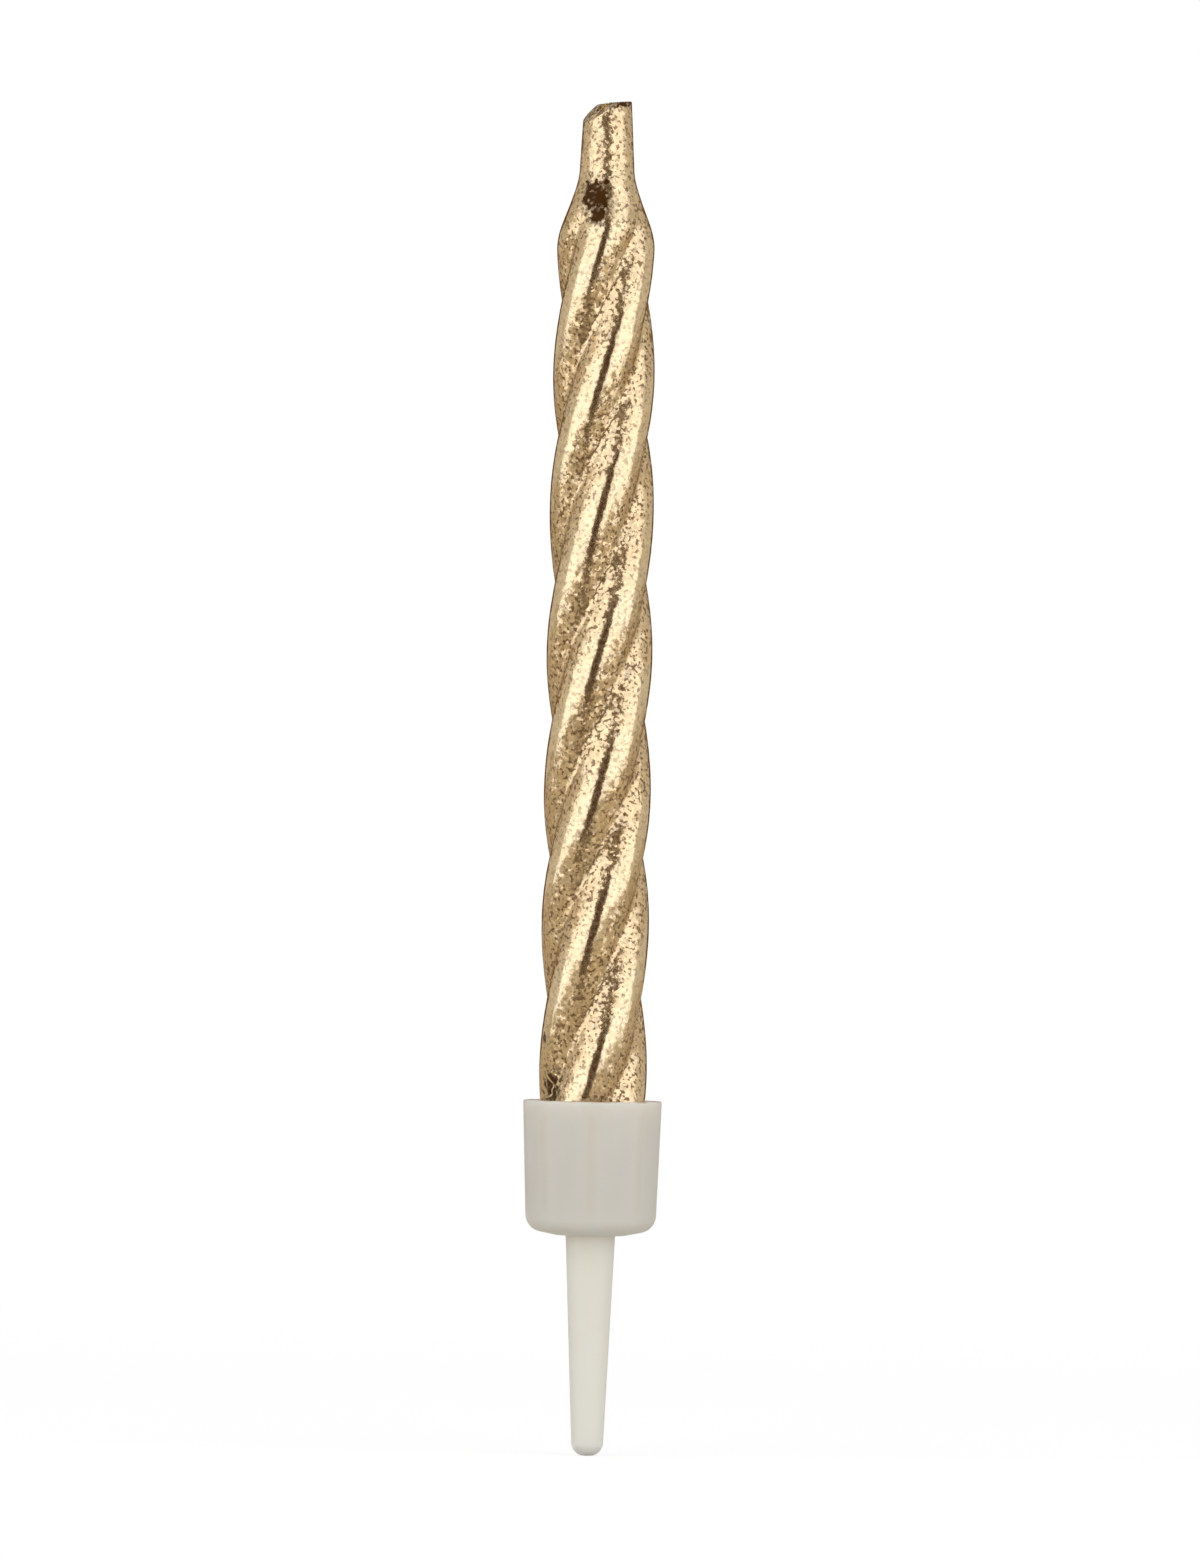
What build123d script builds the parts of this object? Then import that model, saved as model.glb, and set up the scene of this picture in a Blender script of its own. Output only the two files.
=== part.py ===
from build123d import *

import os
from math import asin, ceil, cos, pi, radians, sin, tan

# Spiral birthday candle in its push-in holder, in millimetres.
# The origin is where the axis meets the cup's underside, which rests on the cake. +Z is up, -Y is the front.

# Candle: a stick of four round strands twisted together, with a round neck at the lighting end
candle_length = 60.0
crest_diameter_base = 5.8
crest_diameter_top = 5.3
strand_count = 4
strand_offset = 1.26
twist_pitch = 30.0
front_crest_height = 31.5
shoulder_length = 4.6
neck_length = 3.5
groove_runout = 3.2
neck_root_diameter = 2.92
neck_tip_diameter = 2.55

# Shears leave the lighting end with a nearly level cut and a bevel towards the left and front.
# The bevel starts beyond the axis, so it shows most of the wick's end.
top_cut_tilt = 4.5
bevel_tilt = 40.0
bevel_turn = 22.0
bevel_start = 0.07
cutting_allowance = 2.0

# Wick: a cotton cord through the whole candle, flush with both cut ends
wick_diameter = 1.2
wick_clearance = 0.02

# Holder: one moulding, a drafted cup on a tapered spike
cup_height = 7.25
floor_thickness = 1.0
wall_thickness = 0.43
wall_draft = 1.9
rim_chamfer = 0.1
cup_corner_radius = 0.95
seat_ring_width = 0.5
underside_rise = 0.33

# Grip ribs stand inside the cup, one of them in front, and centre the candle on its crests
rib_count = 8
rib_height = 0.12
rib_width = 0.4
rib_lead_in = 0.9
grip_clearance = 0.04

# Spike
spike_length = 11.85
spike_root_diameter = 2.66
spike_tip_diameter = 1.66
spike_tip_rounding = 0.7

# How finely the twisted stick is sectioned
twist_per_section = 7.5

# Heights that the sizes above give
base_height = floor_thickness
tip_height = base_height + candle_length
neck_height = tip_height - neck_length
shoulder_height = neck_height - shoulder_length
uncut_base = base_height - cutting_allowance
uncut_top = tip_height + cutting_allowance

# Radii that the sizes above give
crest_radius_base = crest_diameter_base / 2
crest_radius_top = crest_diameter_top / 2
neck_root_radius = neck_root_diameter / 2
neck_tip_radius = neck_tip_diameter / 2
wick_radius = wick_diameter / 2
spike_root_radius = spike_root_diameter / 2
spike_tip_radius = spike_tip_diameter / 2
rib_inner_radius = max(crest_radius_base, crest_radius_top) + grip_clearance
bore_radius = rib_inner_radius + rib_height


def smooth_step(value, low, high):
    # 0 below low, 1 above high, with a smooth S between
    t = min(max((value - low) / (high - low), 0.0), 1.0)
    return t * t * (3 - 2 * t)


def between(value, low, high, at_low, at_high):
    # Straight line from at_low to at_high
    return at_low + (at_high - at_low) * (value - low) / (high - low)


def crest_radius(height):
    # A stick that thins towards the top, an S-shaped shoulder and a tapered neck
    if height < shoulder_height:
        climb = between(height, base_height, shoulder_height, 0, 1)
        return between(climb**3, 0, 1, crest_radius_base, crest_radius_top)
    if height < neck_height:
        fall = smooth_step(height, shoulder_height, neck_height)
        return between(fall, 0, 1, crest_radius_top, neck_root_radius)
    return between(height, neck_height, tip_height, neck_root_radius, neck_tip_radius)


def offset_at(height):
    # Distance of the strands' middles from the axis. They come together on the shoulder, where the grooves run out.
    return strand_offset * (1 - smooth_step(height, shoulder_height, shoulder_height + groove_runout))


def strands_face(height):
    # Four arcs, one for each strand, that meet in sharp grooves and are turned by the right-handed twist
    offset = offset_at(height)
    radius = crest_radius(height) - offset
    turn = 2 * pi * (height - front_crest_height) / twist_pitch - pi / 2
    half_share = pi / strand_count
    reach = half_share + asin(offset * sin(half_share) / radius)
    arcs = []
    for i in range(strand_count):
        crest = turn + 2 * half_share * i
        middle = Vector(offset * cos(crest), offset * sin(crest), height)
        angles = (crest - reach, crest, crest + reach)
        arcs.append(ThreePointArc(*[middle + Vector(cos(a), sin(a)) * radius for a in angles]))
    return Face(Wire(arcs))


def trim_ends(stick):
    # Square at the base, and two shear cuts at the lighting end, through the wax and the wick alike
    base_cut = Plane(origin=(0, 0, base_height), z_dir=(0, 0, -1))
    tilt = radians(top_cut_tilt)
    top_cut = Plane(origin=(neck_tip_radius, 0, tip_height), z_dir=(-sin(tilt), 0, cos(tilt)))
    steep = radians(bevel_tilt)
    turn = radians(bevel_turn)
    side = Vector(-cos(turn), -sin(turn), 0)
    normal = side * sin(steep) + Vector(0, 0, cos(steep))
    bevel_cut = Plane(origin=Vector(0, 0, tip_height) - side * bevel_start, z_dir=normal)
    for cut in (base_cut, top_cut, bevel_cut):
        stick = split(stick, bisect_by=cut, keep=Keep.BOTTOM)
    return stick


def upright_rod(radius):
    length = uncut_top - uncut_base
    return Pos(0, 0, uncut_base) * Cylinder(radius, length, align=(Align.CENTER, Align.CENTER, Align.MIN))


def make_wax_body():
    steps = ceil((uncut_top - uncut_base) / twist_pitch * 360 / twist_per_section)
    heights = [between(i, 0, steps, uncut_base, uncut_top) for i in range(steps + 1)]
    stick = loft([strands_face(height) for height in heights], ruled=True)
    return trim_ends(stick - upright_rod(wick_radius + wick_clearance))


def make_wick():
    return trim_ends(upright_rod(wick_radius))


def make_holder():
    cup = revolve(holder_profile(), Axis.Z)
    for i in range(rib_count):
        cup += Rot(0, 0, 360 * i / rib_count - 90) * grip_rib()
    return cup


def wall_flare(height):
    # How far the draft has opened the cup's walls at this height
    return height * tan(radians(wall_draft))


def holder_profile():
    # Half section from the spike's tip, up the outside, over the rim and down to the cup's floor
    cup_radius = bore_radius + wall_thickness
    rim_outside = cup_radius + wall_flare(cup_height)
    rim_inside = bore_radius + wall_flare(cup_height)
    corners = [
        (0, -spike_length),
        (spike_tip_radius, -spike_length),
        (spike_root_radius, 0),
        (spike_root_radius + seat_ring_width, 0),
        (cup_radius, underside_rise),
        (rim_outside, cup_height - rim_chamfer),
        (rim_outside - rim_chamfer, cup_height),
        (rim_inside + rim_chamfer, cup_height),
        (rim_inside, cup_height - rim_chamfer),
        (bore_radius + wall_flare(floor_thickness), floor_thickness),
        (0, floor_thickness),
    ]
    roundings = [0] * (len(corners) - 2)
    roundings[0] = spike_tip_rounding
    roundings[3] = cup_corner_radius
    half = [(x, 0, z) for x, z in corners]
    outline = FilletPolyline(*half, radius=roundings)
    axis_side = Line(half[-1], half[0])
    return Face(Wire(outline.edges() + axis_side.edges()))


def grip_rib():
    # An upright rib rooted in the wall, with its top sloped to lead the candle in
    root_radius = bore_radius + wall_thickness / 2
    top = cup_height - 2 * rim_chamfer
    outline = Polyline(
        (rib_inner_radius, 0, floor_thickness),
        (rib_inner_radius, 0, top - rib_lead_in),
        (bore_radius + wall_flare(top), 0, top),
        (root_radius + wall_flare(top), 0, top),
        (root_radius, 0, floor_thickness),
        close=True,
    )
    return extrude(Face(Wire(outline.edges())), rib_width / 2, dir=(0, 1, 0), both=True)


os.makedirs("parts", exist_ok=True)
export_step(make_wax_body(), "parts/wax_body.step")
export_step(make_wick(), "parts/wick.step")
export_step(make_holder(), "parts/holder.step")
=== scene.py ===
import bpy
import numpy as np
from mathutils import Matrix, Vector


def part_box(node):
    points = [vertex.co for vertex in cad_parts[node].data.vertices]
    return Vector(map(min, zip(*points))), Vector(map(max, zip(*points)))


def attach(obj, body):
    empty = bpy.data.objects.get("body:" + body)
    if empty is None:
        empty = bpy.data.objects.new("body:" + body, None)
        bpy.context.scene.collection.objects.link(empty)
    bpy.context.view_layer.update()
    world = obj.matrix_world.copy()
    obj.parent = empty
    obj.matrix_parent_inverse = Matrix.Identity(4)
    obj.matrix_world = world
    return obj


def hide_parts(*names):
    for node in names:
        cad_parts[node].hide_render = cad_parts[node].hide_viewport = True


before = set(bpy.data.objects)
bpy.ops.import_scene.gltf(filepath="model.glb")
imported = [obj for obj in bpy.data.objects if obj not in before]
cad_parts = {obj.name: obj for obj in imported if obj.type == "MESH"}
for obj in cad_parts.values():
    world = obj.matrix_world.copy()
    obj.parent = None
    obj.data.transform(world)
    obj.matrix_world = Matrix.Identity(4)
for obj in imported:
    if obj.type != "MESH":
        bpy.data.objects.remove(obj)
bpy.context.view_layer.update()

# Spiral birthday candle: a gold-lacquered twisted stick on a cotton wick, in a push-in polyethylene holder.
# Shapes are worked out in millimetres and stored in metres. +Z is up and -Y is the front.
mm = 0.001
waxLow, waxHigh = (np.array(corner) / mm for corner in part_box("wax_body"))
cupLow, cupHigh = (np.array(corner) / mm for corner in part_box("holder"))
baseHeight, tipHeight = waxLow[2], waxHigh[2]
spikeEnd, rimHeight = cupLow[2], cupHigh[2]


def linear(hexColour):
    # sRGB hex to linear RGBA
    srgb = np.array([int(hexColour[i:i + 2], 16) for i in (1, 3, 5)]) / 255
    rgb = np.where(srgb <= 0.04045, srgb / 12.92, ((srgb + 0.055) / 1.055) ** 2.4)
    return (*rgb.tolist(), 1.0)


def smoothStep(value, low, high):
    # 0 below low, 1 above high, with a smooth S between
    t = np.clip((value - low) / (high - low), 0, 1)
    return t * t * (3 - 2 * t)


def waviness(points, wavelength, seed, waves=28, spread=(0.75, 1.35)):
    # Sum of plane waves in random directions, all of about one wavelength, scaled to a spread of 1
    rng = np.random.default_rng(seed)
    way = rng.normal(size=(waves, 3))
    way /= np.linalg.norm(way, axis=1, keepdims=True)
    way *= 2 * np.pi / (wavelength * rng.uniform(*spread, (waves, 1)))
    phases = rng.uniform(0, 2 * np.pi, waves)
    total = np.zeros(points.shape[:-1])
    for turn, phase in zip(way, phases):
        total += np.sin(points @ turn + phase)
    return total * np.sqrt(2 / waves)


def ringQuads(rows, columns, wrapRows=False):
    # Quads between neighbouring closed rings; with wrapRows the last ring joins the first
    i = np.arange(rows if wrapRows else rows - 1)[:, None]
    j = np.arange(columns)[None, :]
    nextI, nextJ = (i + 1) % rows, (j + 1) % columns
    quads = [i * columns + j, i * columns + nextJ, nextI * columns + nextJ, nextI * columns + j]
    return np.stack(np.broadcast_arrays(*quads), axis=-1).reshape(-1, 4)


def makePiece(name, points, faces, sharpAngle=30, **attributes):
    # Mesh object at the origin, smooth except at edges sharper than sharpAngle
    mesh = bpy.data.meshes.new(name)
    mesh.from_pydata((points * mm).tolist(), [], [list(face) for face in faces])
    for key, values in attributes.items():
        layer = mesh.attributes.new(key, "FLOAT", "POINT")
        layer.data.foreach_set("value", values.astype(np.float32).ravel())
    mesh.polygons.foreach_set("use_smooth", np.ones(len(mesh.polygons), bool))
    mesh.set_sharp_from_angle(angle=np.radians(sharpAngle))
    mesh.validate()
    piece = bpy.data.objects.new(name, mesh)
    bpy.context.scene.collection.objects.link(piece)
    return piece


def addNode(tree, kind, links=None, **settings):
    # One node with its settings; links gives each input a value or another node's output
    node = tree.nodes.new(kind)
    for key, value in settings.items():
        setattr(node, key, value)
    for socket, source in (links or {}).items():
        if isinstance(source, bpy.types.NodeSocket):
            tree.links.new(source, node.inputs[socket])
        else:
            node.inputs[socket].default_value = source
    return node


def newMaterial(name):
    # A material with an empty node tree
    material = bpy.data.materials.new(name)
    material.use_nodes = True
    material.node_tree.nodes.clear()
    return material, material.node_tree


# The twisted stick

stick = {
    "columns": 208,
    "rowStep": 0.15,
    "capRows": 15,
    "baseRows": 4,
    "sharp": 50,            # degrees above which an edge stays sharp
    "strands": 4,
    "offset": 1.26,         # from the axis to a strand's middle
    "pitch": 30.0,          # one full turn of a strand
    "frontCrest": 31.5,     # height at which a crest faces the front
    "crestTop": 2.65,       # crest radius under the shoulder
    "shoulder": 4.6,        # lengths of the shoulder and the neck
    "neck": 3.5,
    "grooveRunout": 3.2,    # length over which the grooves run out on the shoulder
    "neckRoot": 1.46,       # radii of the neck
    "neckTip": 1.275,
    "bore": 0.62,           # radius of the wick's bore
    "edge": 0.07,           # rounding that the lacquer leaves round the cut
    "edgeRoll": [30, 60, 90],
    "wander": 0.035,        # uneven hand of the twist, in radians
    "wanderWaves": [(4.1, 0.6, 1.0), (1.9, 2.1, 0.7)],    # length, phase and share of each wave
    "fillet": 0.12,         # lacquer that gathers in the grooves, as a share of a strand's angle
    "peel": 0.002,          # orange peel of the lacquer
    "peelWave": 0.75,
    "peelFade": (0.5, 0.6),     # from the base and from the cut
    "crinkle": 0.0675,      # where the rim has pushed the lacquer up
    "crinkleWave": 0.5,
    "crinkleFade": (0.85, 1.1),
    "neckGrain": 0.75,      # coarseness of the lacquer on the neck and on the cut
    "cutGrain": 0.8,
    "grooveGrain": (0.12, 0.6),     # from crest to groove, where the coarse grain begins and is full
}

# Marks on the lacquer: turn from the front in degrees, height, half width, half height, strength, ragged edge
marks = {
    # A dark brown patch on the shoulder with a tail below it, and a small speck low down
    "shoulderSpot": (-20.0, 55.85, 0.95, 1.15, 1.0, 0.35),
    "spotTail": (-12.0, 55.0, 0.55, 0.8, 1.0, 0.35),
    "speck": (-66.0, 10.6, 0.22, 0.3, 1.2, 0.2),
}

# Where the cup's rim has scuffed the lacquer, written as the marks are
rimScuff = (-56.0, 7.95, 0.85, 1.0, 1.0, 0.4)

markEdge = {
    "fade": (0.55, 1.25),   # a mark thins out between these shares of its half width
    "waves": (0.45, 0.2),   # coarse and fine raggedness
    "patch": 0.05,
    "patchWave": 0.3,
}

shears = {
    "topTilt": 4.5,         # degrees from level
    "bevelTilt": 40.0,
    "bevelTurn": 22.0,      # from the left towards the front
    "bevelStart": 0.07,     # beyond the axis
    "soft": 0.03,           # blend between the two cuts
    "brown": 0.85,          # brown wax at the cut edge
    "brownBand": (-0.32, -0.12),    # from the cut, where the brown begins and is full
    "lowFront": 0.6,        # what the low front of the bevel lacks of it
    "lowTurn": (0.0, 0.5),
    "lowDrop": (0.2, 0.45),
    "dragSpacing": 0.36,    # drag marks of the blades
    "dragSlant": (0.85, 0.5),
    "dragBend": 0.6,
    "dragRange": (0.2, 0.7),
    "dragGround": 0.25,
    "dragDepth": 0.6,
    "dull": 0.6,            # the cut is only dusted with gold
}


def cutHeight(x, y):
    # Lower of the level cut and the bevel, blended over a short radius
    top = tipHeight + np.tan(np.radians(shears["topTilt"])) * (x - stick["neckTip"])
    turn = np.radians(shears["bevelTurn"])
    out = -np.cos(turn) * x - np.sin(turn) * y
    bevel = tipHeight - (out + shears["bevelStart"]) * np.tan(np.radians(shears["bevelTilt"]))
    return -shears["soft"] * np.logaddexp(-top / shears["soft"], -bevel / shears["soft"])


def crestRadius(z):
    # A stick that thins with the cube of the climb, an S-shaped shoulder and a tapered neck
    neckStart = tipHeight - stick["neck"]
    shoulderStart = neckStart - stick["shoulder"]
    crestBase = (waxHigh[0] - waxLow[0]) / 2
    climb = np.clip((z - baseHeight) / (shoulderStart - baseHeight), 0, 1)
    body = crestBase + (stick["crestTop"] - crestBase) * climb**3
    neck = np.interp(z, [neckStart, tipHeight], [stick["neckRoot"], stick["neckTip"]])
    return body + (neck - body) * smoothStep(z, shoulderStart, neckStart)


def grooveShare(z):
    # How much of the groove's depth is left as it runs out on the shoulder
    shoulderStart = tipHeight - stick["neck"] - stick["shoulder"]
    return 1 - smoothStep(z, shoulderStart, shoulderStart + stick["grooveRunout"])


def fromCrest(angle, z):
    # Angle from the nearest crest, turned by the slightly uneven twist
    uneven = sum(size * np.sin(z / length + phase) for length, phase, size in stick["wanderWaves"])
    turn = 2 * np.pi * (z - stick["frontCrest"]) / stick["pitch"] - np.pi / 2 + stick["wander"] * uneven
    share = 2 * np.pi / stick["strands"]
    return (angle - turn + share / 2) % share - share / 2


def stickRadius(angle, z):
    # Distance along the angle to the near strand's circle, which is a little rounded over in the groove
    offset = stick["offset"] * grooveShare(z)
    strand = crestRadius(z) - offset
    half = np.pi / stick["strands"]
    soft = stick["fillet"] * half
    toGroove = half - np.abs(fromCrest(angle, z))
    away = half - soft * np.log(2 * np.cosh(toGroove / soft))
    return offset * np.cos(away) + np.sqrt(strand**2 - (offset * np.sin(away)) ** 2)


def markMask(points, mark, fade):
    # Ellipse on the surface with a ragged edge: 1 inside and 0 outside
    turn, z, halfWidth, halfHeight, strength, ragged = mark
    radius = np.hypot(points[..., 0], points[..., 1])
    away = np.angle(np.exp(1j * (np.arctan2(points[..., 1], points[..., 0]) - np.radians(turn - 90))))
    reach = np.hypot(away * radius / halfWidth, (points[..., 2] - z) / halfHeight)
    coarse, fine = markEdge["waves"]
    reach = reach + ragged / 4 * (waviness(points, coarse, 11) + waviness(points, fine, 12))
    patchy = 1 - markEdge["patch"] * np.maximum(waviness(points, markEdge["patchWave"], 13), 0)
    return np.clip(strength * patchy * (1 - smoothStep(reach, *fade)), 0, 1)


def pushOut(skin, angle, amount):
    # Moves points straight away from the axis
    skin[..., 0] += amount * np.cos(angle)
    skin[..., 1] += amount * np.sin(angle)


def makeStick():
    # One skin: up the outside, round the cut edge, in over the cut, down the bore and out over the base
    columns, bore = stick["columns"], stick["bore"]
    angle = np.arange(columns) / columns * 2 * np.pi
    neckStart = tipHeight - stick["neck"]
    rimRadius = stick["neckTip"]
    rimCut = cutHeight(rimRadius * np.cos(angle), rimRadius * np.sin(angle)) - stick["edge"]
    lowRows = np.arange(baseHeight, neckStart, stick["rowStep"])
    neckShare = np.linspace(0, 1, int(stick["neck"] / stick["rowStep"]))
    wallZ = np.concatenate([
        np.repeat(lowRows[:, None], columns, axis=1),
        neckStart + neckShare[:, None] * (rimCut - neckStart),
    ])
    wallR = stickRadius(angle[None, :], wallZ)

    roll = np.radians(stick["edgeRoll"])[:, None]
    edgeR = wallR[-1] - stick["edge"] * (1 - np.cos(roll))
    innerCut = cutHeight(edgeR[-1] * np.cos(angle), edgeR[-1] * np.sin(angle))
    edgeZ = rimCut + (innerCut - rimCut) * np.sin(roll)

    capShare = np.linspace(0, 1, stick["capRows"] + 1)[1:, None]
    capR = edgeR[-1] + (bore - edgeR[-1]) * capShare
    capZ = cutHeight(capR * np.cos(angle), capR * np.sin(angle))
    boreR = np.full((2, columns), bore)
    boreZ = np.repeat([[neckStart], [baseHeight]], columns, axis=1)
    baseShare = np.linspace(0, 1, stick["baseRows"] + 2)[1:-1, None]
    baseR = bore + (wallR[0] - bore) * baseShare
    baseZ = np.full(baseR.shape, baseHeight)

    radius = np.concatenate([wallR, edgeR, capR, boreR, baseR])
    height = np.concatenate([wallZ, edgeZ, capZ, boreZ, baseZ])
    points = np.stack([radius * np.cos(angle), radius * np.sin(angle), height], axis=-1)
    wallEnd = len(wallR)
    edgeEnd = wallEnd + len(edgeR)
    capEnd = edgeEnd + len(capR)
    outside, cap = points[:wallEnd], points[edgeEnd:capEnd]

    # Orange peel along the outside, faded out at both ends
    fromBase, fromCut = stick["peelFade"]
    fade = smoothStep(wallZ, baseHeight, baseHeight + fromBase)
    fade = fade * (1 - smoothStep(wallZ - rimCut, -fromCut, 0))
    pushOut(outside, angle, stick["peel"] * waviness(outside, stick["peelWave"], 4) * fade)

    # Crinkles where the rim has pushed the lacquer up
    scuffed = markMask(outside, rimScuff, stick["crinkleFade"])
    pushOut(outside, angle, stick["crinkle"] * scuffed * np.abs(waviness(outside, stick["crinkleWave"], 8)))

    # Grain: smooth on the crests, coarse in the grooves and on the neck
    share = grooveShare(wallZ)
    valley = np.abs(fromCrest(angle[None, :], wallZ)) * stick["strands"] / np.pi
    grain = np.full(radius.shape, stick["cutGrain"])
    grain[:wallEnd] = stick["neckGrain"] * (1 - share) + share * smoothStep(valley, *stick["grooveGrain"])

    # Dark marks on the outside, such as a dark brown patch on the shoulder, and brown wax where the shears
    # cut through the lacquer
    stain = np.zeros(radius.shape)
    for mark in marks.values():
        stain[:wallEnd] = np.maximum(stain[:wallEnd], markMask(outside, mark, markEdge["fade"]))
    lowFront = smoothStep(-np.sin(angle), *shears["lowTurn"])
    lowFront = lowFront * smoothStep(tipHeight - rimCut, *shears["lowDrop"])
    stain[wallEnd:edgeEnd] = shears["brown"] - shears["lowFront"] * lowFront
    brim = smoothStep(wallZ - rimCut, *shears["brownBand"]) * shears["brown"] * (1 - lowFront)
    stain[:wallEnd] = np.maximum(stain[:wallEnd], brim)
    # Drag marks of the blades run slanting over the cut
    slantX, slantZ = shears["dragSlant"]
    along = (slantX * cap[..., 0] - slantZ * cap[..., 2]) / shears["dragSpacing"]
    drag = np.sin(2 * np.pi * along + waviness(cap, shears["dragBend"], 21))
    dragged = shears["dragDepth"] * smoothStep(drag, *shears["dragRange"])
    stain[edgeEnd:capEnd] = shears["dragGround"] + dragged

    # Dull on the cut, in the bore and on the base, and scuffed at the cup's rim
    dull = np.zeros(radius.shape)
    dull[edgeEnd:] = shears["dull"]
    scuff = np.zeros(radius.shape)
    scuff[:wallEnd] = markMask(outside, rimScuff, markEdge["fade"])
    faces = ringQuads(len(radius), columns, wrapRows=True)
    return makePiece(
        "twistedStick", points.reshape(-1, 3), faces, stick["sharp"],
        stain=stain, grain=grain, dull=dull, scuff=scuff)


# Material of the stick: bronze-flake gold lacquer over cast paraffin.
# The flakes lie nearly flat, so lights show as soft bands that break up into grains at their edges.
# A pair of values is for the crests and the grooves, or gives the ends of a range.

goldLacquer = {
    "gold": "#ddc8a1",
    "deepGold": "#c9a977",
    "cloud": 1.4,               # mm across a cloud of paler or deeper gold
    "grooveShadeShift": (0.22, -0.22),     # painted shade: towards gold on the crests and deep gold in the grooves
    "edgeGold": "#d8bd94",      # what the flakes give back at a slant
    "flake": 0.17,              # mm across a flake, drawn coarse enough to show
    "flakeTilt": (0.032, 0.22),
    "roughness": (0.17, 0.3),
    "dent": 0.4,                # mm across a dent, where flakes lie in clumps
    "dentShare": 2.5,           # tilt of the dents against that of the flakes
    "glintLevel": (0.2, 1.8),        # painted glint and shade: dullest and brightest flake
    "paintedGlints": (0.22, 0.4),     # how much of that shows
    "pit": 0.2,                 # mm across a pit, where brown wax shows in the coarse grain
    "pitRange": (0.53, 0.64),
    "pitDepth": 0.8,
    "pitShare": (0.4, 1.0),
    "pitDull": 0.8,
    "pitColour": "#5f3912",
    "stainColour": "#482a0e",
    "stainGrain": 0.7,          # how far the flakes break up a dark mark
    "stainRange": (0.62, 1.2),
    "curl": 0.55,               # mm across a curl of the scuffed lacquer
    "curlRange": (0.04, 0.06),
    "waxShine": 0.1,            # specular level of the bare brown wax
    "coat": 0.9,
    "coatIor": 2.0,
    "coatRoughness": 0.07,
}


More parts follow.
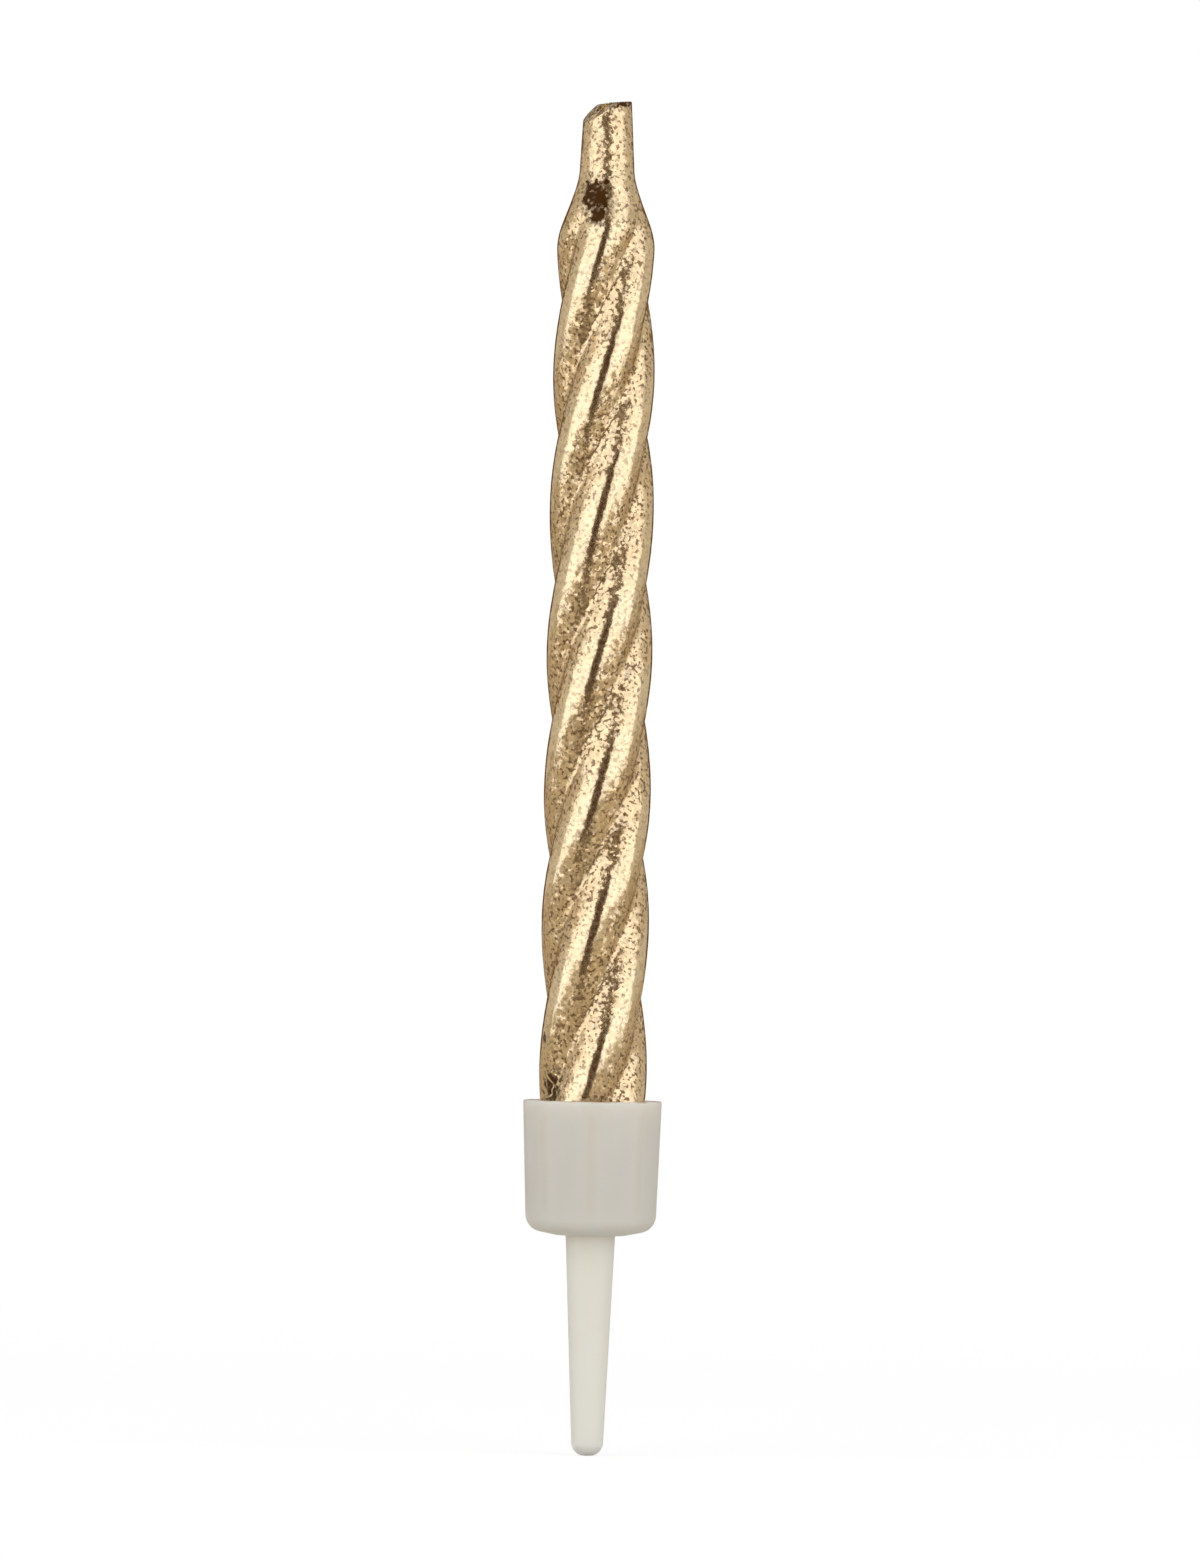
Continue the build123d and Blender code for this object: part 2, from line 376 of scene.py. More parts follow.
def makeGoldLacquer():
    material, tree = newMaterial("bronzeFlakeGoldLacquer")
    coords = addNode(tree, "ShaderNodeTexCoord").outputs["Object"]
    grain = addNode(tree, "ShaderNodeAttribute", attribute_name="grain").outputs["Fac"]
    stain = addNode(tree, "ShaderNodeAttribute", attribute_name="stain").outputs["Fac"]
    scuff = addNode(tree, "ShaderNodeAttribute", attribute_name="scuff").outputs["Fac"]
    cut = addNode(tree, "ShaderNodeAttribute", attribute_name="dull").outputs["Fac"]

    # Flakes and dents tilt the surface, little on the crests and more in the grooves
    flakes = addNode(
        tree, "ShaderNodeTexVoronoi", {"Vector": coords, "Scale": 1 / (goldLacquer["flake"] * mm)})
    dents = addNode(
        tree, "ShaderNodeTexNoise",
        {"Vector": coords, "Scale": 1 / (goldLacquer["dent"] * mm), "Detail": 1.0})
    share = goldLacquer["dentShare"]
    summed = addNode(
        tree, "ShaderNodeVectorMath",
        {0: dents.outputs["Color"], 1: (share,) * 3, 2: flakes.outputs["Color"]}, operation="MULTIPLY_ADD")
    centred = addNode(
        tree, "ShaderNodeVectorMath", {0: summed.outputs[0], 1: (0.5 + 0.5 * share,) * 3},
        operation="SUBTRACT")
    low, high = goldLacquer["flakeTilt"]
    tiltSize = addNode(tree, "ShaderNodeMapRange", {0: grain, "To Min": low, "To Max": high})
    tilt = addNode(
        tree, "ShaderNodeVectorMath", {0: centred.outputs[0], "Scale": tiltSize.outputs[0]},
        operation="SCALE")
    facing = addNode(tree, "ShaderNodeNewGeometry").outputs["Normal"]
    tilted = addNode(tree, "ShaderNodeVectorMath", {0: facing, 1: tilt.outputs[0]}, operation="ADD")
    flakeNormal = addNode(tree, "ShaderNodeVectorMath", {0: tilted.outputs[0]}, operation="NORMALIZE")
    low, high = goldLacquer["roughness"]
    rough = addNode(tree, "ShaderNodeMapRange", {0: grain, "To Min": low, "To Max": high})

    # Colour: clouds of gold, with painted shade deeper in the grooves, and painted glints and shade on the
    # flakes, each as bright as it happens to lie
    clouds = addNode(
        tree, "ShaderNodeTexNoise",
        {"Vector": coords, "Scale": 1 / (goldLacquer["cloud"] * mm), "Detail": 3.0})
    # Painted shade: the colour is pushed towards deep gold in the grooves and towards gold on the crests
    low, high = goldLacquer["grooveShadeShift"]
    grooveShade = addNode(tree, "ShaderNodeMapRange", {0: grain, "To Min": low, "To Max": high})
    cloudsAndShade = addNode(
        tree, "ShaderNodeMath", {0: clouds.outputs["Fac"], 1: grooveShade.outputs[0]}, operation="ADD")
    tone = addNode(
        tree, "ShaderNodeMix",
        {0: cloudsAndShade.outputs[0], 6: linear(goldLacquer["deepGold"]), 7: linear(goldLacquer["gold"])},
        data_type="RGBA")
    # Painted glints: each flake's colour is made brighter or darker by its own random level
    grey = addNode(tree, "ShaderNodeRGBToBW", {0: flakes.outputs["Color"]}).outputs[0]
    low, high = goldLacquer["glintLevel"]
    glintLevel = addNode(tree, "ShaderNodeMapRange", {0: grey, "To Min": low, "To Max": high})
    low, high = goldLacquer["paintedGlints"]
    speckled = addNode(tree, "ShaderNodeMapRange", {0: grain, "To Min": low, "To Max": high})
    paintedGlints = addNode(
        tree, "ShaderNodeMix", {0: speckled.outputs[0], 6: tone.outputs[2], 7: glintLevel.outputs[0]},
        data_type="RGBA", blend_type="MULTIPLY")

    # Pits, where a noise is high, let brown wax show
    pits = addNode(
        tree, "ShaderNodeTexNoise",
        {"Vector": coords, "Scale": 1 / (goldLacquer["pit"] * mm), "Detail": 1.0})
    low, high = goldLacquer["pitRange"]
    deep = addNode(
        tree, "ShaderNodeMapRange",
        {0: pits.outputs["Fac"], "From Min": low, "From Max": high, "To Max": goldLacquer["pitDepth"]})
    low, high = goldLacquer["pitShare"]
    pitShare = addNode(tree, "ShaderNodeMapRange", {0: grain, "To Min": low, "To Max": high})
    pitted = addNode(
        tree, "ShaderNodeMath", {0: deep.outputs[0], 1: pitShare.outputs[0]}, operation="MULTIPLY").outputs[0]

    # Dark marks break up into grains at their edges
    grainy = addNode(
        tree, "ShaderNodeMath", {0: grey, 1: goldLacquer["stainGrain"], 2: stain}, operation="MULTIPLY_ADD")
    low, high = goldLacquer["stainRange"]
    spots = addNode(
        tree, "ShaderNodeMapRange", {0: grainy.outputs[0], "From Min": low, "From Max": high})

    # Scuffed lacquer is brown wax with curls of gold left along the middle level of a noise
    swirl = addNode(
        tree, "ShaderNodeTexNoise",
        {"Vector": coords, "Scale": 1 / (goldLacquer["curl"] * mm), "Detail": 0.0})
    aside = addNode(tree, "ShaderNodeMath", {0: swirl.outputs["Fac"], 1: 0.5}, operation="SUBTRACT")
    gap = addNode(tree, "ShaderNodeMath", {0: aside.outputs[0]}, operation="ABSOLUTE")
    low, high = goldLacquer["curlRange"]
    between = addNode(
        tree, "ShaderNodeMapRange", {0: gap.outputs[0], "From Min": low, "From Max": high})
    scraped = addNode(tree, "ShaderNodeMath", {0: between.outputs[0], 1: scuff}, operation="MULTIPLY")
    stainShare = addNode(
        tree, "ShaderNodeMath", {0: spots.outputs[0], 1: scraped.outputs[0]}, operation="MAXIMUM").outputs[0]
    browned = addNode(
        tree, "ShaderNodeMix", {0: pitted, 6: paintedGlints.outputs[2], 7: linear(goldLacquer["pitColour"])},
        data_type="RGBA")
    stained = addNode(
        tree, "ShaderNodeMix", {0: stainShare, 6: browned.outputs[2], 7: linear(goldLacquer["stainColour"])},
        data_type="RGBA")

    # Bare wax is neither metallic nor coated
    dull = addNode(tree, "ShaderNodeMath", {0: stainShare, 1: cut}, operation="MAXIMUM").outputs[0]
    worn = addNode(tree, "ShaderNodeMath", {0: pitted, 1: dull}, operation="MAXIMUM")
    coat = addNode(
        tree, "ShaderNodeMapRange", {0: worn.outputs[0], "To Min": goldLacquer["coat"], "To Max": 0.0})
    bare = addNode(
        tree, "ShaderNodeMath", {0: pitted, 1: goldLacquer["pitDull"]}, operation="MULTIPLY")
    matt = addNode(tree, "ShaderNodeMath", {0: dull, 1: bare.outputs[0]}, operation="MAXIMUM")
    metal = addNode(tree, "ShaderNodeMath", {0: 1.0, 1: matt.outputs[0]}, operation="SUBTRACT")
    shader = addNode(tree, "ShaderNodeBsdfPrincipled", {
        "Base Color": stained.outputs[2],
        "Metallic": metal.outputs[0],
        "Roughness": rough.outputs[0],
        "Specular IOR Level": goldLacquer["waxShine"],
        "Specular Tint": linear(goldLacquer["edgeGold"]),
        "Coat Weight": coat.outputs[0],
        "Coat Roughness": goldLacquer["coatRoughness"],
        "Coat IOR": goldLacquer["coatIor"],
        "Normal": flakeNormal.outputs[0],
        "Coat Normal": flakeNormal.outputs[0],
    })
    addNode(tree, "ShaderNodeOutputMaterial", {"Surface": shader.outputs[0]})
    return material


stickPiece = makeStick()
stickPiece.data.materials.append(makeGoldLacquer())
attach(stickPiece, "candle")
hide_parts("wax_body")
print("twisted stick:", len(stickPiece.data.polygons), "faces")


# The wick: a bundle of twisted cotton yarns, sheared off flush with the stick

wick = {
    # Rings of yarns: radius, number, and how far the first is turned as a share of the spacing
    "layers": [(0.0, 1, 0.0), (0.24, 6, 0.0), (0.47, 12, 0.5)],
    "yarnRadius": 0.125,
    "pitch": 9.0,           # one full turn of a yarn
    "rows": 90,
    "sides": 8,
    "sharp": 60,            # degrees above which an edge stays sharp
    "endPinch": 0.55,       # yarns are pinched where they are cut
    "proud": 0.03,          # and end a little above or below the cut,
    "proudWaves": (7.0, 20.0),      # by a wave over their place and their ring's radius
}


def makeWick():
    # Yarns on rings round the axis, each a tube along a gentle helix with its end on the cut
    rings = [(r, 2 * np.pi * (k + first) / n) for r, n, first in wick["layers"] for k in range(n)]
    ringR, start = (np.array(column)[:, None, None] for column in zip(*rings))
    share = np.linspace(0, 1, wick["rows"])[None, :, None]
    side = np.arange(wick["sides"])[None, None, :] / wick["sides"] * 2 * np.pi
    turn = start + 2 * np.pi * share * (tipHeight - baseHeight) / wick["pitch"]
    yarn = wick["yarnRadius"] * np.where((share == 0) | (share == 1), wick["endPinch"], 1.0)
    x = ringR * np.cos(turn) + yarn * np.cos(side)
    y = ringR * np.sin(turn) + yarn * np.sin(side)
    overPlace, overRadius = wick["proudWaves"]
    proud = wick["proud"] * np.sin(overPlace * start + overRadius * ringR)
    z = baseHeight + share * (cutHeight(x, y) + proud - baseHeight)
    points = np.stack([x, y, z], axis=-1)
    count, rows, sides = points.shape[:3]
    tube = ringQuads(rows, sides)
    offsets = np.arange(count)[:, None, None] * rows * sides
    faces = (tube[None] + offsets).reshape(-1, 4).tolist()
    bottom = np.arange(sides)[::-1]
    top = (rows - 1) * sides + np.arange(sides)
    faces += (bottom[None] + offsets[:, 0]).tolist() + (top[None] + offsets[:, 0]).tolist()
    return makePiece("yarnWick", points.reshape(-1, 3), faces, wick["sharp"])


# Material of the wick: bleached cotton yarn soaked in wax and gilded with the candle.
# It is dull and warm, with fibres along the yarn.

waxedCotton = {
    "shade": "#5a3a18",
    "light": "#d9b878",
    "fibre": 0.16,              # mm across a fibre bundle, drawn coarse enough to show
    "fibreStretch": 0.2,        # along the yarn
    "fibreRange": (0.4, 0.6),
    "fibreHeight": 0.03,
    "fibreRelief": 0.6,
    "gilding": 0.65,
    "roughness": 0.45,
}


def makeWaxedCotton():
    material, tree = newMaterial("gildedWaxedCotton")
    coords = addNode(tree, "ShaderNodeTexCoord").outputs["Object"]
    stretch = addNode(
        tree, "ShaderNodeMapping", {"Vector": coords, "Scale": (1.0, 1.0, waxedCotton["fibreStretch"])})
    fibres = addNode(
        tree, "ShaderNodeTexNoise",
        {"Vector": stretch.outputs[0], "Scale": 1 / (waxedCotton["fibre"] * mm), "Detail": 3.0})
    low, high = waxedCotton["fibreRange"]
    share = addNode(
        tree, "ShaderNodeMapRange", {0: fibres.outputs["Fac"], "From Min": low, "From Max": high})
    tone = addNode(
        tree, "ShaderNodeMix",
        {0: share.outputs[0], 6: linear(waxedCotton["shade"]), 7: linear(waxedCotton["light"])},
        data_type="RGBA")
    bump = addNode(tree, "ShaderNodeBump", {
        "Height": fibres.outputs["Fac"],
        "Distance": waxedCotton["fibreHeight"] * mm,
        "Strength": waxedCotton["fibreRelief"],
    })
    shader = addNode(tree, "ShaderNodeBsdfPrincipled", {
        "Base Color": tone.outputs[2],
        "Metallic": waxedCotton["gilding"],
        "Roughness": waxedCotton["roughness"],
        "Normal": bump.outputs[0],
    })
    addNode(tree, "ShaderNodeOutputMaterial", {"Surface": shader.outputs[0]})
    return material


wickPiece = makeWick()
wickPiece.data.materials.append(makeWaxedCotton())
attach(wickPiece, "candle")
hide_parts("wick")
print("wick:", len(wickPiece.data.polygons), "faces")


# The holder: a drafted cup on a tapered spike, with grip ribs inside

holder = {
    "columns": 288,
    "rowSpacing": 0.35,     # of the extra rows on straight runs
    "sharp": 35,            # degrees above which an edge stays sharp
    "cupRadius": 3.49,      # outside, at the underside
    "wall": 0.43,
    "draft": 1.9,           # degrees
    "floor": 1.0,
    "floorRound": 0.15,
    "corner": 0.95,         # rounding of the underside
    "underRise": 0.33,
    "seat": 0.5,            # width of the flat ring that rests on the cake
    "rimRound": 0.1,
    "spikeRoot": 1.33,      # radii of the spike
    "spikeTip": 0.83,
    "tipRound": 0.7,
    "rootRound": 0.12,
    "ribs": 8,
    "ribHeight": 0.12,
    "ribWidth": 0.4,
    "ribBlend": 0.06,       # how softly a rib's sides run into the wall
    "ribTop": 0.2,          # below the rim
    "ribLead": 0.9,         # length of the slope that leads the candle in
    "wallMargin": 0.05,     # points further in than this belong to the floor
    "spikeMilk": 0.95,      # milkiness of the solid spike and of the thin cup, lower in the cup as painted shade where the inside shows through
    "thinCupShade": 0.6,
    "milkRise": (-0.4, 0.6),
    "ribShade": 0.16,        # painted shade: what a rib takes off, where it presses on the candle behind the wall
    "ribFrom": (0.8, 1.6),  # heights where that comes in and goes out
    "ribTo": (6.0, 7.0),
    "smear": (0.3, 0.25),   # mean and spread of the painted shade along the rim, with the lacquer that the candle has left there
    "smearWave": 1.2,
    "smearDepth": (0.09, 0.02),     # below the rim, where it begins and is full
}


def roundedProfile(corners, steps=9):
    # Half section through corners of radius, height and rounding, with a circular arc for each rounding
    corners = np.array(corners, float)
    profile = [corners[0, :2]]
    for before, here, after in zip(corners, corners[1:], corners[2:]):
        back, ahead = before[:2] - here[:2], after[:2] - here[:2]
        back, ahead = back / np.hypot(*back), ahead / np.hypot(*ahead)
        if here[2] == 0:
            profile.append(here[:2])
            continue
        half = np.arccos(np.clip(back @ ahead, -1, 1)) / 2
        middle = (back + ahead) / np.hypot(*(back + ahead))
        centre = here[:2] + middle * here[2] / np.sin(half)
        first = here[:2] + back * here[2] / np.tan(half) - centre
        last = here[:2] + ahead * here[2] / np.tan(half) - centre
        share = np.linspace(0, 1, steps)[:, None]
        sweep = np.pi - 2 * half
        arc = (np.sin((1 - share) * sweep) * first + np.sin(share * sweep) * last) / np.sin(sweep)
        profile.extend(centre + arc)
    profile.append(corners[-1, :2])
    return np.array(profile)


def makeHolder():
    # The half section turned round the axis; inside the cup the ribs stand in from the wall
    flare = np.tan(np.radians(holder["draft"]))
    inside = holder["cupRadius"] - holder["wall"]
    rimOut, rimIn = holder["cupRadius"] + flare * rimHeight, inside + flare * rimHeight
    section = roundedProfile([
        (0, spikeEnd, 0),
        (holder["spikeTip"], spikeEnd, holder["tipRound"]),
        (holder["spikeRoot"], 0, holder["rootRound"]),
        (holder["spikeRoot"] + holder["seat"], 0, 0),
        (holder["cupRadius"], holder["underRise"], holder["corner"]),
        (rimOut, rimHeight, holder["rimRound"]),
        (rimIn, rimHeight, holder["rimRound"]),
        (inside + flare * holder["floor"], holder["floor"], holder["floorRound"]),
        (0, holder["floor"], 0),
    ])
    # Long straight runs get extra rows, so that the ribs have points to follow
    dense = [section[:1]]
    for a, b in zip(section, section[1:]):
        count = max(1, int(np.hypot(*(b - a)) / holder["rowSpacing"]))
        dense.append(a + (b - a) * np.linspace(0, 1, count + 1)[1:, None])
    section = np.concatenate(dense)[1:-1]
    rows, columns = len(section), holder["columns"]
    angle = np.arange(columns) / columns * 2 * np.pi
    radius = np.repeat(section[:, :1], columns, axis=1)
    height = np.repeat(section[:, 1:], columns, axis=1)

    innerRow = np.arange(rows) > np.argmax(section[:, 1])
    toRib = (angle * holder["ribs"] / (2 * np.pi) + 0.5) % 1 - 0.5
    across = np.abs(toRib) * 2 * np.pi / holder["ribs"] * inside
    halfRib, blend = holder["ribWidth"] / 2, holder["ribBlend"]
    rib = 1 - smoothStep(across, halfRib - blend, halfRib + blend)
    ribTop = rimHeight - holder["ribTop"]
    lead = 1 - smoothStep(height, ribTop - holder["ribLead"], ribTop)
    onWall = innerRow[:, None] & (radius > inside - holder["wallMargin"])
    drawnIn = radius - (inside - holder["ribHeight"])
    radius = np.where(onWall, radius - drawnIn * rib * lead, radius)
    points = np.stack([radius * np.cos(angle), radius * np.sin(angle), height], axis=-1)

    # The two poles close the spike's tip and the cup's floor
    faces = ringQuads(rows, columns).tolist()
    bottom, top = rows * columns, rows * columns + 1
    j = np.arange(columns)
    nextJ = (j + 1) % columns
    last = (rows - 1) * columns
    faces += np.stack([np.full(columns, bottom), nextJ, j], axis=1).tolist()
    faces += np.stack([np.full(columns, top), last + j, last + nextJ], axis=1).tolist()
    poles = np.array([[0, 0, spikeEnd], [0, 0, holder["floor"]]])

    # Milkiness, with painted shade: most in the solid spike, darker in the thin cup where the inside shows
    # through, darkest where a rib stands behind the wall
    ribShadeBand = rib * ~innerRow[:, None] * smoothStep(height, *holder["ribFrom"])
    ribShadeBand = ribShadeBand * (1 - smoothStep(height, *holder["ribTo"]))
    cupShading = (holder["spikeMilk"] - holder["thinCupShade"]) * smoothStep(height, *holder["milkRise"])
    milk = holder["spikeMilk"] - cupShading - holder["ribShade"] * ribShadeBand
    milk = np.append(milk.ravel(), [holder["spikeMilk"], holder["thinCupShade"]])
    # Painted shade of the gap along the rim, with lacquer rubbed off where the candle was pushed in
    begins, full = (rimHeight - depth for depth in holder["smearDepth"])
    mean, spread = holder["smear"]
    patches = np.clip(mean + spread * waviness(points, holder["smearWave"], 31), 0, 1)
    smear = np.append((smoothStep(height, begins, full) * patches).ravel(), [0.0, 0.0])
    return makePiece(
        "pushInHolder", np.concatenate([points.reshape(-1, 3), poles]), faces, holder["sharp"],
        milk=milk, smear=smear)


# Material of the holder: uncoloured low-density polyethylene, moulded.
# It is milky, light passes in and scatters, and its skin has a soft satin gloss.

polyethylene = {
    # the thin wall's colour is darker: painted shade where the inside shows through
    "thin": "#ecdac0",
    "milky": "#fdf4e8",
    "flow": 0.9,                # mm across a streak of the flow in the mould
    "flowStretch": 0.12,        # along the height
    "flowDepth": 0.15,
    # painted shade of the gap at the rim, with rubbed-off lacquer
    "smearTone": "#7d5c34",
    "skin": 0.25,               # mm across the unevenness of the skin
    "skinHeight": 0.02,
    "skinRelief": 0.25,
    "roughness": 0.38,
    "ior": 1.51,
    "scatter": 1.2,             # mm that light travels inside
}


def makePolyethylene():
    material, tree = newMaterial("naturalPolyethylene")
    coords = addNode(tree, "ShaderNodeTexCoord").outputs["Object"]
    stretch = addNode(
        tree, "ShaderNodeMapping", {"Vector": coords, "Scale": (1.0, 1.0, polyethylene["flowStretch"])})
    flow = addNode(
        tree, "ShaderNodeTexNoise",
        {"Vector": stretch.outputs[0], "Scale": 1 / (polyethylene["flow"] * mm), "Detail": 2.0})
    milk = addNode(tree, "ShaderNodeAttribute", attribute_name="milk").outputs["Fac"]
    depth = polyethylene["flowDepth"]
    streaks = addNode(
        tree, "ShaderNodeMapRange", {0: flow.outputs["Fac"], "To Min": -depth, "To Max": depth})
    milky = addNode(tree, "ShaderNodeMath", {0: milk, 1: streaks.outputs[0]}, operation="ADD")
    tone = addNode(
        tree, "ShaderNodeMix",
        {0: milky.outputs[0], 6: linear(polyethylene["thin"]), 7: linear(polyethylene["milky"])},
        data_type="RGBA")
    smear = addNode(tree, "ShaderNodeAttribute", attribute_name="smear").outputs["Fac"]
    rimShaded = addNode(
        tree, "ShaderNodeMix", {0: smear, 6: tone.outputs[2], 7: linear(polyethylene["smearTone"])},
        data_type="RGBA")
    skin = addNode(
        tree, "ShaderNodeTexNoise",
        {"Vector": coords, "Scale": 1 / (polyethylene["skin"] * mm), "Detail": 2.0})
    bump = addNode(tree, "ShaderNodeBump", {
        "Height": skin.outputs["Fac"],
        "Distance": polyethylene["skinHeight"] * mm,
        "Strength": polyethylene["skinRelief"],
    })
    shader = addNode(tree, "ShaderNodeBsdfPrincipled", {
        "Base Color": rimShaded.outputs[2],
        "Roughness": polyethylene["roughness"],
        "IOR": polyethylene["ior"],
        "Subsurface Weight": 1.0,
        "Subsurface Radius": (1.0, 1.0, 1.0),
        "Subsurface Scale": polyethylene["scatter"] * mm,
        "Normal": bump.outputs[0],
    })
    addNode(tree, "ShaderNodeOutputMaterial", {"Surface": shader.outputs[0]})
    return material


holderPiece = makeHolder()
holderPiece.data.materials.append(makePolyethylene())
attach(holderPiece, "holder")
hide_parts("holder")
print("holder:", len(holderPiece.data.polygons), "faces")


# Stage: white floor and surroundings, two softboxes, and cards that only reflections see

stage = {
    "floorHalf": 2500.0,
    "floorPaint": "#c8c8c8",
    "floorGlow": 0.58,
    "floorFade": (60.0, 240.0),     # the floor goes over into plain white between these distances
    "surround": "#ffffff",
    "surroundLight": 0.6,           # what the white surroundings give to plain surfaces
    "softboxTurn": 45.5,            # degrees from the front
    "softboxFar": 600.0,
    "softboxSize": (825.0, 700.0),
    "softboxMiddle": 330.0,
    "softboxPower": 1.18,
    "stripFar": 70.0,               # a dark strip in front gives the crests their dark core lines
    "stripHalf": 14.5,              # degrees to each side
    "stripTop": 160.0,
    "stripTone": "#482a06",
    "cardLift": 1.0,                # near cards above the floor
    "cardStep": 0.5,                # far cards below the near ones
    "cardFar": 620.0,
    # Cards to each side and behind: turns from the front, top and tone
    "ring": {
        "side": (82.0, 130.0, 600.0, "#dfd9cc"),
        "rear": (130.0, 144.0, 600.0, "#e4dfd4"),
        "outline": (144.0, 180.0, 310.0, "#6e4f28"),
    },
    "lowHalf": 190.0,               # reflections see a dull floor close by and a bright one in front
    "lowTone": "#c9bda7",
    "brightTone": "#ffffff",
    "brightLevel": 1.6,
}


def seenDirectly(tree):
    # 1 for rays from the camera, from a reflection or through a clear piece
    path = addNode(tree, "ShaderNodeLightPath")
    seen = addNode(
        tree, "ShaderNodeMath", {0: path.outputs["Is Camera Ray"], 1: path.outputs["Is Glossy Ray"]},
        operation="MAXIMUM")
    return addNode(
        tree, "ShaderNodeMath", {0: seen.outputs[0], 1: path.outputs["Is Transmission Ray"]},
        operation="MAXIMUM").outputs[0]


def makeFloorWhite():
    # White paper: paint that keeps a shadow near the candle, plain white like the surroundings far off
    material, tree = newMaterial("whitePaperSweep")
    seen = seenDirectly(tree)
    coords = addNode(tree, "ShaderNodeTexCoord").outputs["Object"]
    distance = addNode(tree, "ShaderNodeVectorMath", {0: coords}, operation="LENGTH").outputs["Value"]
    near, far = (edge * mm for edge in stage["floorFade"])
    fade = addNode(
        tree, "ShaderNodeMapRange", {0: distance, "From Min": near, "From Max": far},
        interpolation_type="SMOOTHSTEP").outputs[0]
    paint = addNode(tree, "ShaderNodeBsdfDiffuse", {"Color": linear(stage["floorPaint"])})
    glow = addNode(tree, "ShaderNodeEmission", {"Strength": stage["floorGlow"]})
    lit = addNode(tree, "ShaderNodeAddShader", {0: paint.outputs[0], 1: glow.outputs[0]})
    plain = addNode(tree, "ShaderNodeEmission", {"Strength": 1.0})
    sweep = addNode(tree, "ShaderNodeMixShader", {0: fade, 1: lit.outputs[0], 2: plain.outputs[0]})
    both = addNode(tree, "ShaderNodeMixShader", {0: seen, 1: paint.outputs[0], 2: sweep.outputs[0]})
    addNode(tree, "ShaderNodeOutputMaterial", {"Surface": both.outputs[0]})
    return material


def levelCorners(left, right, front, back, height):
    # Corners of a level rectangle
    return np.array([
        [left, front, height], [right, front, height], [right, back, height], [left, back, height]])


def uprightCorners(x, y, low, high):
    # Corners of an upright rectangle over the two places given by x and y
    return np.array([[x[0], y[0], low], [x[1], y[1], low], [x[1], y[1], high], [x[0], y[0], high]])


def addCard(name, corners, colour, level=1.0):
    # A flat evenly lit card, which only reflections see
    card = makePiece(name, corners, [[0, 1, 2, 3]])
    material, tree = newMaterial(name + "Tone")
    tone = addNode(tree, "ShaderNodeEmission", {"Color": linear(colour), "Strength": level})
    addNode(tree, "ShaderNodeOutputMaterial", {"Surface": tone.outputs[0]})
    card.data.materials.append(material)
    card.visible_camera = card.visible_diffuse = card.visible_transmission = card.visible_shadow = False


def addSoftbox(name, sign):
    # A large lamp in front and to one side, facing the candle
    lamp = bpy.data.lights.new(name, "AREA")
    lamp.shape = "RECTANGLE"
    lamp.size, lamp.size_y = (side * mm for side in stage["softboxSize"])
    lamp.energy = stage["softboxPower"]
    box = bpy.data.objects.new(name, lamp)
    turn = np.radians(stage["softboxTurn"]) * sign
    place = np.array([np.sin(turn), -np.cos(turn), 0]) * stage["softboxFar"]
    box.location = (place + [0, 0, stage["softboxMiddle"]]) * mm
    box.rotation_euler = (np.radians(90), 0, turn)
    bpy.context.scene.collection.objects.link(box)


def makeSurround():
    # White all round to the eye and in reflections, at a plain level for what it lights
    world = bpy.data.worlds.new("whiteSurround")
    world.use_nodes = True
    tree = world.node_tree
    tree.nodes.clear()
    level = addNode(
        tree, "ShaderNodeMapRange",
        {0: seenDirectly(tree), "To Min": stage["surroundLight"], "To Max": 1.0}).outputs[0]
    sky = addNode(tree, "ShaderNodeBackground", {"Color": linear(stage["surround"]), "Strength": level})
    addNode(tree, "ShaderNodeOutputWorld", {"Surface": sky.outputs[0]})
    return world


half = stage["floorHalf"]
floor = makePiece("floor", levelCorners(-half, half, -half, half, spikeEnd), [[0, 1, 2, 3]])
floor.data.materials.append(makeFloorWhite())

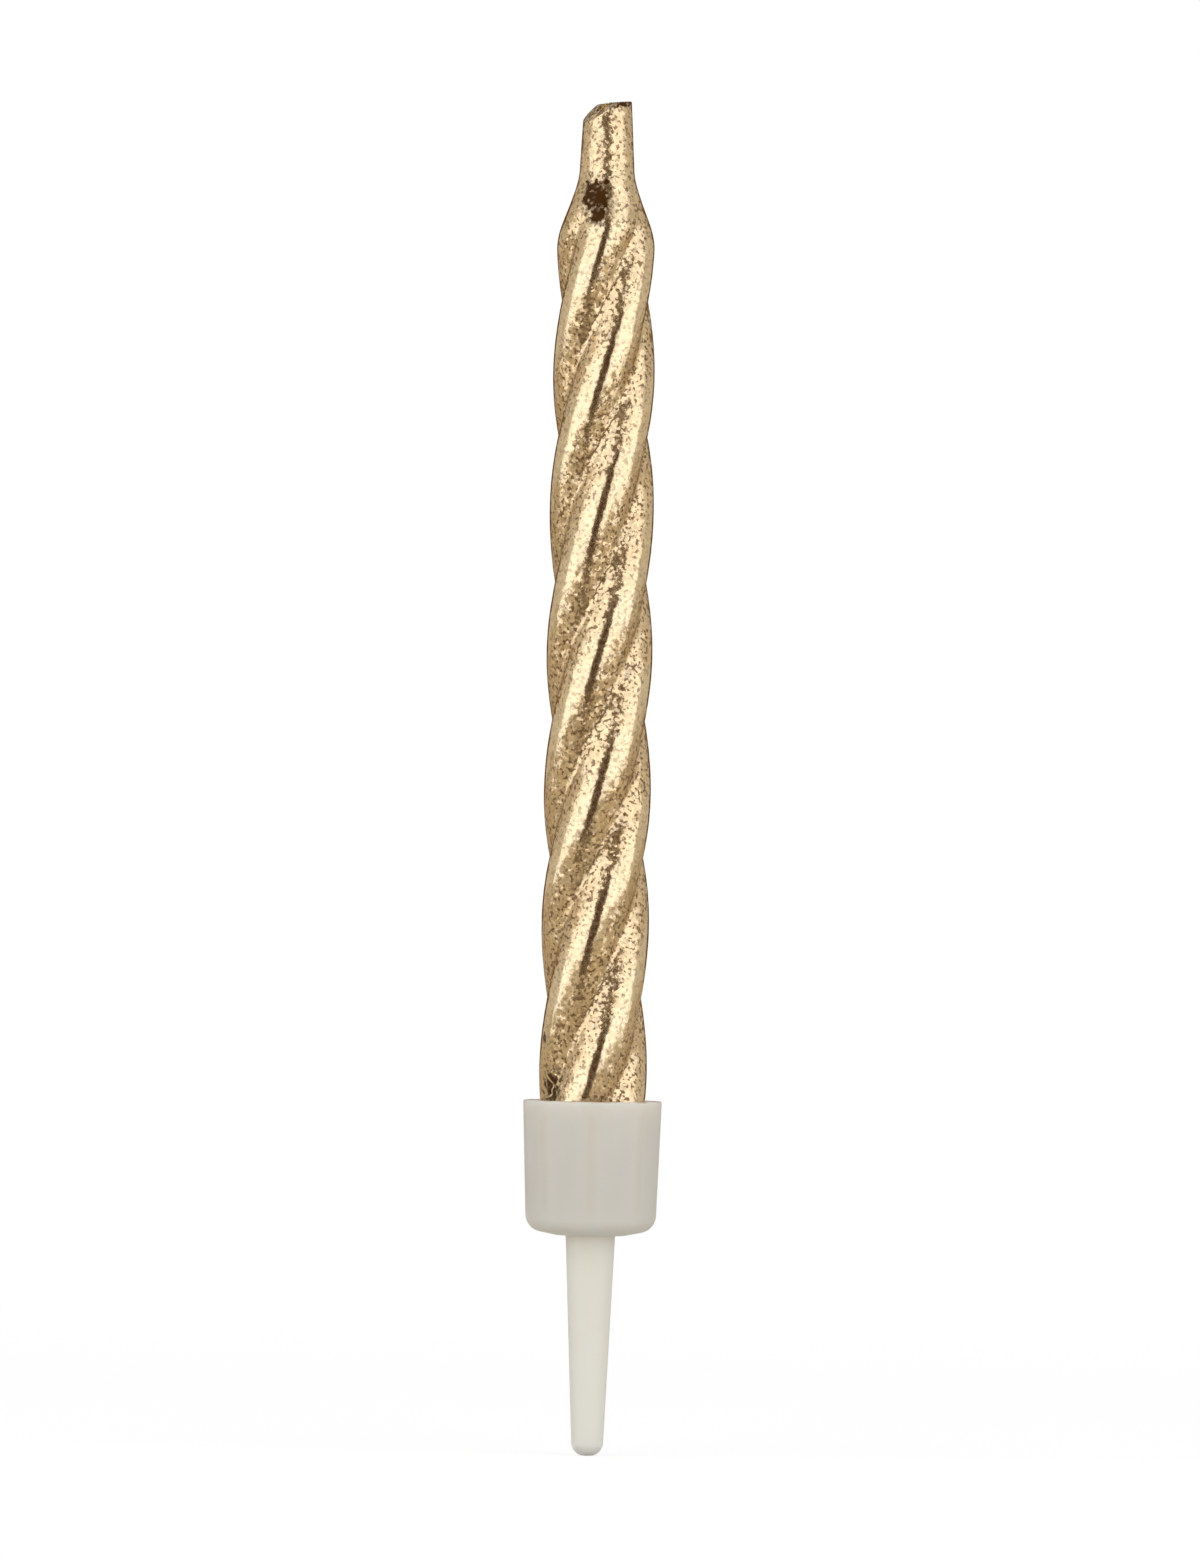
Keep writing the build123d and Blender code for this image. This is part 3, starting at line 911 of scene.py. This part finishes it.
nearHeight = spikeEnd + stage["cardLift"]
farHeight = nearHeight - stage["cardStep"]
far, near = stage["cardFar"], stage["lowHalf"]
stripFar = stage["stripFar"]
stripWide = stripFar * np.tan(np.radians(stage["stripHalf"]))
addCard(
    "darkStrip",
    uprightCorners((-stripWide, stripWide), (-stripFar, -stripFar), nearHeight, stage["stripTop"]),
    stage["stripTone"])
addCard("lowCard", levelCorners(-near, near, -near, near, nearHeight), stage["lowTone"])
addCard("rearLowCard", levelCorners(-far, far, 0, far, farHeight), stage["lowTone"])
addCard(
    "brightFloor", levelCorners(-far, far, -far, 0, farHeight), stage["brightTone"], stage["brightLevel"])
for name, (start, end, top, tone) in stage["ring"].items():
    turns = np.radians([start, end])
    for sign in (-1, 1):
        x, y = sign * far * np.sin(turns), -far * np.cos(turns)
        addCard(name + "Card", uprightCorners(x, y, farHeight, top), tone)
addSoftbox("leftSoftbox", -1)
addSoftbox("rightSoftbox", 1)
bpy.context.scene.world = makeSurround()
print("stage: floor, cards, softboxes, surround")


# Camera: level with the middle of the candle, long lens, rolled as the photographed candle leans

shot = {
    "distance": 1200.0,
    "fill": 0.87,           # share of the frame's height that the candle takes up
    "elevation": 0.4,       # degrees
    "roll": -0.9,
    "sensor": 36.0,
    "clip": (0.05, 10.0),   # metres
}
camera = bpy.data.objects.new("camera", bpy.data.cameras.new("camera"))
bpy.context.scene.collection.objects.link(camera)
frameHeight = (tipHeight - spikeEnd) / shot["fill"]
camera.data.sensor_width = shot["sensor"]
camera.data.lens = shot["sensor"] * shot["distance"] / frameHeight
tilt = np.radians(shot["elevation"])
middle = (tipHeight + spikeEnd) / 2
camera.location = (
    0, -shot["distance"] * np.cos(tilt) * mm, (middle + shot["distance"] * np.sin(tilt)) * mm)
camera.rotation_mode = "XYZ"
camera.rotation_euler = (np.radians(90) - tilt, np.radians(shot["roll"]), 0)
camera.data.clip_start, camera.data.clip_end = shot["clip"]
bpy.context.scene.camera = camera
bpy.context.scene.view_settings.view_transform = "Standard"
print("camera: lens", round(camera.data.lens))
